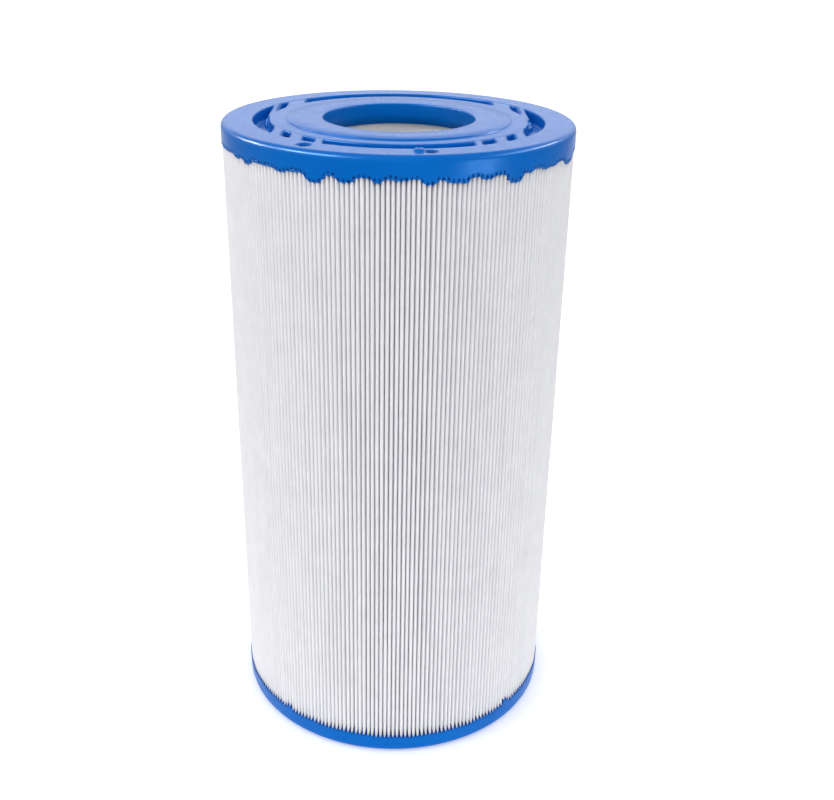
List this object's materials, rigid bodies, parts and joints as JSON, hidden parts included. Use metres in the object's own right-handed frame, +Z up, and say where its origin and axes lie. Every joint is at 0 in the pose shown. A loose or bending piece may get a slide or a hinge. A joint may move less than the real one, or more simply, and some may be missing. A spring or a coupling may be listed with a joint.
{
  "type": "filter cartridge",
  "caption": "Cylindrical pleated filter cartridge: a folded polyester sheet round a windowed core tube, potted in cast end caps with a through hole.",
  "frame": {"origin": "centre of the bottom end cap's face, on the cartridge's axis", "axes": "+Z up along the axis towards the top end cap; -Y is the front; the sheet's seam is at the back, towards +Y"},
  "size_m": [0.1254, 0.1254, 0.235],
  "materials": {
    "end_cap": "satin",
    "media": "matte",
    "core": "satin",
    "seam": "satin"
  },
  "bodies": {
    "root": {"top_end_cap": "end_cap", "bottom_end_cap": "end_cap", "pleated_media": "media", "core_tube": "core", "media_seam": "seam"}
  },
  "joints": []
}
